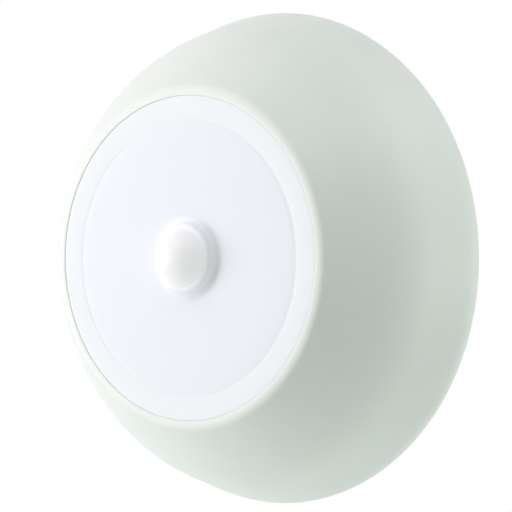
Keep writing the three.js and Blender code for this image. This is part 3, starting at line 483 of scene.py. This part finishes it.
def emitter_package():
    """White package with a round pool of yellow phosphor in its middle."""
    shader = Shader("emitter_yellow", "emitter_yellow", Coat_Roughness=0.1)
    out = shader.radius() - EMITTER_CIRCLE
    spacing = 2.0 * math.pi / EMITTERS * EMITTER_CIRCLE
    along = ((shader.bearing() * EMITTERS).fraction() - 0.5) * spacing
    distance = (out * out + along * along) ** 0.5
    phosphor = 1.0 - distance.over(1.85 * MM, 1.95 * MM)
    grain = shader.noise(2200.0, 3.0)
    yellow = shader.mix(grain, rgb(0.9, 0.72, 0.16), rgb(0.86, 0.64, 0.1))
    shader.paint(
        Base_Color=shader.mix(phosphor, rgb(0.88, 0.88, 0.86), yellow),
        Roughness=0.34 + 0.1 * grain - 0.14 * phosphor,
        Coat_Weight=0.6 * phosphor,
    )
    return shader.bump(grain, 0.02 * MM, 0.5)


def cell_jacket(quarter_turns):
    """A cell's sleeve: slate, with a pale band towards the raised contact and bare steel past both ends."""
    shader = Shader(f"cell_jacket_{quarter_turns + 1}", "cell_jacket", Coat_Roughness=0.15)
    shader.turned(quarter_turns)
    along = shader.axis("X")
    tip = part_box("battery_cell_1")[1][0]
    flat_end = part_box("battery_cell_1")[0][0]
    scuffs = shader.noise(420.0, 4.0, 0.65, place=shader.stretched((0.12, 1.0, 1.0)))
    band = along.near(tip - 11.0 * MM, 5.0 * MM, 0.15 * MM)
    line = along.near(tip - 17.6 * MM, 0.3 * MM, 0.1 * MM)
    steel = along.over(tip - 2.0 * MM, tip - 1.9 * MM)
    steel = steel + (1.0 - along.over(flat_end + 0.75 * MM, flat_end + 0.85 * MM))
    sleeve = shader.mix(band + line, rgb(0.075, 0.095, 0.12), rgb(0.5, 0.52, 0.53))
    shader.paint(
        Base_Color=shader.mix(steel, sleeve, rgb(0.7, 0.69, 0.66)),
        Metallic=steel,
        Roughness=0.26 + 0.14 * scuffs,
        Coat_Weight=0.5 - 0.5 * steel,
    )
    return shader.bump(scuffs, 0.03 * MM, 0.5)


board_white = solder_mask()
emitter_yellow = emitter_package()
cell_jackets = [cell_jacket(k) for k in range(4)]
reflector_white = moulded(
    "reflector_white", "shell_plastic", rgb(0.93, 0.935, 0.925), rgb(0.915, 0.92, 0.91),
    rough=0.42, grain=1900.0, depth=0.04 * MM,
)
connector_nylon = moulded(
    "connector_nylon", "tray_plastic", rgb(0.80, 0.78, 0.69), rgb(0.77, 0.75, 0.655),
    rough=0.4, grain=1100.0, depth=0.03 * MM,
)
print("board, emitters and cells made")

# %% [markdown]
# ## Turned shapes
# Every round piece starts as a profile of (radius, depth) pairs in millimetres. Curved runs are sampled finely,
# so the silhouette shows no facets, and the profile is spun round a vertical axis.


# %% Curves and spins
SHELL_STEPS = 192  # round a full turn of the housing and the lens
DOME_STEPS = 96
SHARP_EDGE = 40.0  # degrees between two faces from which their edge is rounded
SMOOTH_UP_TO = 32.0  # degrees between two faces that still shade as one
WELD = 1e-6


def curve(start, handle_a, handle_b, end, steps):
    """Points of a cubic curve, without its first one."""
    corners = (start, handle_a, handle_b, end)
    points = []
    for k in range(1, steps + 1):
        t = k / steps
        weights = ((1 - t) ** 3, 3 * t * (1 - t) ** 2, 3 * t * t * (1 - t), t**3)
        points.append(tuple(sum(w * c[i] for w, c in zip(weights, corners)) for i in (0, 1)))
    return points


def bend(start, corner, end, steps):
    """A rounded corner: a quadratic curve from start to end that is pulled to corner."""
    handles = [tuple(p[i] + (corner[i] - p[i]) * 2 / 3 for i in (0, 1)) for p in (start, end)]
    return curve(start, handles[0], handles[1], end, steps)


def spun(shape, profile, steps, centre=(0.0, 0.0), start=0.0, sweep=360.0):
    """Adds a profile spun about a vertical axis to a bmesh. A part turn gets its two end faces."""
    full = sweep >= 360.0
    before = set(shape.verts)
    axis = Vector((centre[0] * MM, centre[1] * MM, 0.0))
    verts = [shape.verts.new(axis + Vector((r * MM, 0.0, -d * MM))) for r, d in profile]
    pairs = list(zip(verts, verts[1:]))
    if not (profile[0][0] == 0.0 and profile[-1][0] == 0.0):
        pairs.append((verts[-1], verts[0]))
    edges = [shape.edges.new(pair) for pair in pairs]
    turn = Matrix.Rotation(math.radians(start), 3, "Z")
    bmesh.ops.rotate(shape, verts=verts, cent=axis, matrix=turn)
    result = bmesh.ops.spin(
        shape, geom=verts + edges, cent=axis, axis=(0.0, 0.0, 1.0), angle=math.radians(sweep),
        steps=steps, use_merge=full,
    )
    if not full:
        ends = [edges, [e for e in result["geom_last"] if isinstance(e, bmesh.types.BMEdge)]]
        for rim in ends:
            bmesh.ops.contextual_create(shape, geom=rim)
    made = [v for v in shape.verts if v not in before]
    bmesh.ops.remove_doubles(shape, verts=made, dist=WELD)
    return [v for v in shape.verts if v not in before]


def rounded(shape, verts, width):
    """Bevels the sharp edges among these vertices by width millimetres."""
    chosen = set(verts)
    faces = {f for v in verts for f in v.link_faces}
    bmesh.ops.recalc_face_normals(shape, faces=list(faces))
    sharp = [
        e for e in {e for v in verts for e in v.link_edges}
        if all(v in chosen for v in e.verts) and len(e.link_faces) == 2
        and e.calc_face_angle(0.0) > math.radians(SHARP_EDGE)
    ]
    bmesh.ops.bevel(
        shape, geom=sharp, offset=width * MM, affect="EDGES", segments=2, profile=0.5,
        material=-1, clamp_overlap=True,
    )


def finished(name, shape, shader, body, *nodes, angle=SMOOTH_UP_TO):
    """Turns a bmesh into a piece that rides on a body and stands for its CAD nodes."""
    bmesh.ops.recalc_face_normals(shape, faces=shape.faces)
    mesh = bpy.data.meshes.new(name)
    shape.to_mesh(mesh)
    shape.free()
    mesh.shade_smooth()
    mesh.set_sharp_from_angle(angle=math.radians(angle))
    mesh.materials.append(shader.material)
    piece = bpy.data.objects.new(name, mesh)
    bpy.context.scene.collection.objects.link(piece)
    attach(piece, body)
    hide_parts(*nodes)
    print(f"{name}: {len(mesh.polygons)} faces")
    return piece


print("turning tools ready")

# %% [markdown]
# ## Housing
# The outside runs from the tucked back edge round the rim, down a straight flare and over the bowl to a rolled
# lip. The wall is 2.2 mm thick all the way, so the inside is the outside moved in along its normals.

# %% Housing shell
WALL = 2.2
RIM = (82.9, 4.2)
SHOULDER = (78.3, 21.2)
LIP = (58.3, 52.1)
LENS_OPENING = 54.3
FRONT = 53.25
FLARE_SLOPE = 0.28  # radius lost for each millimetre down, where flare and bowl meet
LIP_SLOPE = 0.86
LEDGE = (48.65, 50.45)  # depths of the back and front of the ledge that carries the lens
LEDGE_RADIUS = 51.2
BACK_EDGE = (82.0, 0.8)


def along_slope(point, slope, down):
    """A curve's handle: down millimetres below point on a line that loses slope of radius for each."""
    return (point[0] - slope * down, point[1] + down)


rim_round = [BACK_EDGE] + bend(BACK_EDGE, (RIM[0], 2.5), RIM, 8)
flare = curve(RIM, (RIM[0], 6.2), along_slope(SHOULDER, FLARE_SLOPE, -12), SHOULDER, 12)
bowl = curve(SHOULDER, along_slope(SHOULDER, FLARE_SLOPE, 10), along_slope(LIP, LIP_SLOPE, -14), LIP, 28)
lip_roll = curve(
    LIP, (LIP[0] - 0.8, FRONT - 0.25), (LENS_OPENING + 1.7, FRONT), (LENS_OPENING + 0.35, FRONT), 12
)


def moved_in(points, distance):
    """A run of points moved towards the lamp's axis along its normals."""
    moved = []
    for k, point in enumerate(points):
        before = points[max(k - 1, 0)]
        after = points[min(k + 1, len(points) - 1)]
        along = Vector((after[0] - before[0], after[1] - before[1])).normalized()
        moved.append((point[0] - distance * along[1], point[1] + distance * along[0]))
    return moved


def radius_at(depth, points):
    """Where a run of points passes a depth."""
    for (r0, d0), (r1, d1) in zip(points, points[1:]):
        if d0 <= depth <= d1:
            return r0 + (r1 - r0) * (depth - d0) / (d1 - d0)


def depth_at(radius, points):
    """Where a run of points, narrowing as it goes down, passes a radius."""
    for (r0, d0), (r1, d1) in zip(points, points[1:]):
        if r1 <= radius <= r0:
            return d0 + (d1 - d0) * (radius - r0) / (r1 - r0)


skin = [RIM] + flare + bowl
inner_skin = [p for p in moved_in(skin, WALL) if p[1] < LEDGE[0]]
mid_skin = moved_in(skin, WALL / 2)
chamfer = 0.2
lens_seat = bend(lip_roll[-1], (LENS_OPENING, FRONT), (LENS_OPENING, FRONT - 0.25), 5) + [
    (LENS_OPENING, LEDGE[1]), (LEDGE_RADIUS + chamfer, LEDGE[1]), (LEDGE_RADIUS, LEDGE[1] - chamfer),
    (LEDGE_RADIUS, LEDGE[0] + chamfer), (LEDGE_RADIUS + chamfer, LEDGE[0]),
]
inner_foot = [(radius_at(LEDGE[0], moved_in(skin, WALL)), LEDGE[0])]
inner_back = [(RIM[0] - WALL, RIM[1]), (80.2, 2.4), (79.9, 1.1), (80.2, BACK_EDGE[1])]
shell_profile = rim_round + flare + bowl + lip_roll + lens_seat + inner_foot + inner_skin[::-1] + inner_back
shell = bmesh.new()
spun(shell, shell_profile, SHELL_STEPS)
print("housing profile points:", len(shell_profile))

# %% [markdown]
# Inside the shell stand four posts for the battery tray's screws, each with a gusset, three short pillars for the
# board, and the three bayonet lugs with the stops that end the locking turn.

# %% Housing: posts, pillars and lugs
POST_CIRCLE = 66.0
POST_TOP = 12.4
POST_BORE = 1.55  # radius
POST_RADIUS = 3.3
POST_EDGE = 0.4
POST_FOOT = 30.0  # depth, before the foot is moved on into the wall
GUSSET_REACH = 3.0
GUSSET_DEPTHS = (15.4, 20.0, 25.0, 30.0, 34.0)
GUSSET_HALF = 0.8
POST_STEPS = 28
PILLAR_CIRCLE = 55.3
PILLAR = (45.2, 49.2)  # top and bottom depth
PILLAR_BORE = 1.25
PILLAR_RADIUS = 2.9
PILLAR_EDGE = 0.3
PILLAR_STEPS = 24
LUG_RADIUS = 75.0
LUG = (4.4, 6.6)  # top and bottom depth
LUG_TURNS = (90.0, 210.0, 330.0)
LUG_LEAD = 10.23  # degrees from a lug's turn back to its start
LUG_SWEEP = 20.23
STOP_FOOT = 9.0
STOP_SWEEP = 2.4
MOULD_ROUND = 0.25


def on_circle(circle, angle):
    return (circle * math.cos(angle), circle * math.sin(angle))


def tray_post(angle):
    """A bored post for one of the tray's screws, its foot carried down into the wall, and its gusset."""
    post_profile = [
        (POST_BORE, POST_TOP), (POST_RADIUS - POST_EDGE, POST_TOP), (POST_RADIUS, POST_TOP + POST_EDGE),
        (POST_RADIUS, POST_FOOT), (POST_BORE, POST_FOOT),
    ]
    for vert in spun(shell, post_profile, POST_STEPS, on_circle(POST_CIRCLE, angle)):
        if vert.co.z < -(POST_FOOT - 1.0) * MM:
            vert.co.z = -MM * depth_at(math.hypot(vert.co.x, vert.co.y) / MM, mid_skin)
    inner = POST_CIRCLE + GUSSET_REACH
    outline = [(inner, POST_TOP + GUSSET_REACH)]
    outline += [(radius_at(d, mid_skin), d) for d in GUSSET_DEPTHS]
    outline += [(inner, depth_at(inner, mid_skin))]
    verts = [shell.verts.new((r * MM, -GUSSET_HALF * MM, -d * MM)) for r, d in outline]
    face = shell.faces.new(verts)
    grown = bmesh.ops.extrude_face_region(shell, geom=[face])["geom"]
    far = [v for v in grown if isinstance(v, bmesh.types.BMVert)]
    bmesh.ops.translate(shell, verts=far, vec=(0.0, 2 * GUSSET_HALF * MM, 0.0))
    turn = Matrix.Rotation(angle, 3, "Z")
    bmesh.ops.rotate(shell, verts=verts + far, cent=(0.0, 0.0, 0.0), matrix=turn)


def board_pillar(angle):
    """A short bored pillar for one of the board's screws."""
    top, foot = PILLAR
    profile = [
        (PILLAR_BORE, top), (PILLAR_RADIUS - PILLAR_EDGE, top), (PILLAR_RADIUS, top + PILLAR_EDGE),
        (PILLAR_RADIUS, foot), (PILLAR_BORE, foot),
    ]
    spun(shell, profile, PILLAR_STEPS, on_circle(PILLAR_CIRCLE, angle))


def ledge(foot, wall_depth, steps, start, sweep):
    """A block that stands inwards from the wall, from the lugs' top down to foot."""
    wall = radius_at(wall_depth, mid_skin)
    profile = [(LUG_RADIUS, LUG[0]), (wall, LUG[0]), (wall, foot), (LUG_RADIUS, foot)]
    rounded(shell, spun(shell, profile, steps, start=start, sweep=sweep), MOULD_ROUND)


for k in range(4):
    tray_post(math.radians(90.0 * k))
for k in range(3):
    board_pillar(math.radians(45.0 + 120.0 * k))
for turn in LUG_TURNS:
    ledge(LUG[1], 5.5, 14, turn - LUG_LEAD, LUG_SWEEP)
    ledge(STOP_FOOT, 7.0, 3, turn - LUG_LEAD - STOP_SWEEP, STOP_SWEEP)
finished("housing_shell", shell, shell_plastic, "lamp", "housing")

# %% [markdown]
# ## Lens and sensor dome
# The lens is a flat frosted disc. A shallow groove parts its edge band from the middle, and a boss with a wide,
# soft foot rises round the sensor dome. Four tongues behind its edge snap over the housing's ledge.

# %% Lens
LENS_RADIUS = 54.22
LENS_FOOT = 54.28  # the lower edge stands out a little, so the gap round the lens is shallow
FACE = 53.12
CROWN = 53.45
BOSS = (11.9, 57.0)  # radius and depth of its face
BOSS_FOOT = BOSS[0] + 3.3  # where the fillet at the boss's foot ends
DOME_HOLE = 9.87
GROOVE = (47.2, 46.2)  # radii of its outer and inner side
LENS_BACK = (50.45, 51.3)  # depth at the edge and at the dome's hole
CLIP_TURNS = (0.0, 90.0, 180.0, 270.0)
CLIP_SWEEP = 16.0
CLIP_ROUND = 0.1

disc_profile = (
    [(LENS_FOOT, LENS_BACK[0] + 0.15), (LENS_FOOT, FACE - 0.14), (LENS_RADIUS, FACE - 0.1)]
    + bend((LENS_RADIUS, FACE - 0.08), (LENS_RADIUS, FACE), (LENS_RADIUS - 0.2, FACE), 4)
    + [(51.0, FACE)]
    + bend((GROOVE[0] + 0.6, FACE), (GROOVE[0], FACE), (GROOVE[0] - 0.5, FACE - 0.05), 5)
    + bend((GROOVE[0] - 0.5, FACE - 0.05), (GROOVE[1], FACE - 0.07), (GROOVE[1] - 0.8, FACE + 0.01), 7)
    + bend((GROOVE[1] - 0.8, FACE + 0.01), ((GROOVE[1] + 15.0) / 2, CROWN), (BOSS_FOOT, CROWN), 16)
    + bend((BOSS_FOOT, CROWN), (BOSS[0] + 0.3, CROWN), (BOSS[0], CROWN + 1.6), 12)
    + bend((BOSS[0], BOSS[1] - 1.4), (BOSS[0], BOSS[1] - 0.1), (BOSS[0] - 1.7, BOSS[1]), 8)
    + bend((DOME_HOLE + 0.1, BOSS[1]), (DOME_HOLE, BOSS[1]), (DOME_HOLE, BOSS[1] - 0.15), 3)
    + [(DOME_HOLE, LENS_BACK[1]), (GROOVE[1], LENS_BACK[0]), (LENS_RADIUS - 0.15, LENS_BACK[0])]
)
disc = bmesh.new()
spun(disc, disc_profile, SHELL_STEPS)
tongue = [(49.5, 50.9), (49.5, 46.75), (50.9, 46.75), (52.0, 48.1), (52.0, 48.3), (50.9, 48.3), (50.9, 50.9)]
for turn in CLIP_TURNS:
    clip = spun(disc, tongue, 8, start=turn - CLIP_SWEEP / 2, sweep=CLIP_SWEEP)
    rounded(disc, clip, CLIP_ROUND)
finished("lens_disc", disc, lens_frosted, "lamp", "lens")

# %% Sensor dome
DOME = (9.8, 6.7)  # radius and height above the boss
DOME_WALL = 0.8
sphere = (DOME[0] ** 2 + DOME[1] ** 2) / (2 * DOME[1])  # radius of the ball that the dome is cut from
middle = BOSS[1] + DOME[1] - sphere


def cap(radius, edge, steps):
    """A spherical cap from its edge to its tip."""
    start = math.asin(edge / radius)
    angles = [start * (1 - k / steps) for k in range(steps + 1)]
    return [(radius * math.sin(a) if a else 0.0, middle + radius * math.cos(a)) for a in angles]


flange = [(9.0, 50.1), (12.05, 50.0), (12.2, 50.15), (12.2, 50.85), (12.05, 51.0), (DOME[0], 51.0)]
inside = cap(sphere - DOME_WALL, DOME[0] - DOME_WALL, 20)
dome_profile = inside[::-1] + flange + cap(sphere, DOME[0], 26)
dome = bmesh.new()
spun(dome, dome_profile, DOME_STEPS)
finished("dome_film", dome, dome_milky, "lamp", "sensor_dome")

# %% [markdown]
# ## Softened edges
# The ceiling plate and the parts inside already have the right shapes, as the CAD's loose triangles. A copy of
# each is merged, its flat faces are joined again, and its sharp edges get the small rounds that moulds and dies
# leave.


# %% Plate and inner parts
FINE_WELD = 1e-7
FLAT_UP_TO = 0.5  # degrees between two triangles that are joined again


def softened(node, shader, width, body="lamp", smooth=SMOOTH_UP_TO):
    """A merged copy of a CAD node, with its sharp edges rounded by width millimetres unless width is 0."""
    shape = bmesh.new()
    shape.from_mesh(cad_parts[node].data)
    bmesh.ops.remove_doubles(shape, verts=shape.verts, dist=FINE_WELD)
    flat = math.radians(FLAT_UP_TO)
    bmesh.ops.dissolve_limit(shape, angle_limit=flat, verts=shape.verts, edges=shape.edges)
    if width:
        rounded(shape, shape.verts, width)
    piece = finished(f"{node}_dressed", shape, shader, body, node, angle=smooth)
    shading = piece.modifiers.new("even_shading", "WEIGHTED_NORMAL")
    shading.keep_sharp = True
    shading.weight = 100


softened("mounting_plate", shell_plastic, MOULD_ROUND, body="plate")
INNER = {  # material and rounding in millimetres
    "battery_tray": (tray_plastic, 0.2),
    "sensor_shroud": (tray_plastic, 0.15),
    "sensor_riser": (black_component, 0.15),
    "lead_socket": (connector_nylon, 0.1),
    "lead_plug": (connector_nylon, 0.12),
    "led_board": (board_white, 0.08),
    "reflector": (reflector_white, 0.12),
    "control_chip": (black_component, 0.12),
    "pir_sensor": (pir_can, 0.12),
    "driver_inductor": (black_component, 0.2),
    "storage_capacitor": (black_component, 0.2),
    "light_sensor": (sensor_clear, 0.2),
    "terminal_positive": (contact_nickel, 0.08),
    "terminal_negative": (contact_nickel, 0.08),
}
INNER.update({f"led_{k}": (emitter_yellow, 0.1) for k in range(1, EMITTERS + 1)})
INNER.update({f"battery_cell_{k + 1}": (cell_jackets[k], 0.3) for k in range(4)})
INNER.update({f"contact_bridge_{k}": (contact_nickel, 0.08) for k in range(1, 4)})
INNER.update({f"tray_screw_{k}": (screw_steel, 0.1) for k in range(1, 5)})
INNER.update({f"board_screw_{k}": (screw_steel, 0.05) for k in range(1, 4)})
for node, (shader, width) in INNER.items():
    softened(node, shader, width)
for node, shader in {"red_lead": lead_red, "black_lead": lead_black}.items():
    softened(node, shader, 0.0, smooth=60.0)
for k in range(1, 5):
    softened(f"contact_spring_{k}", contact_nickel, 0.0, smooth=80.0)
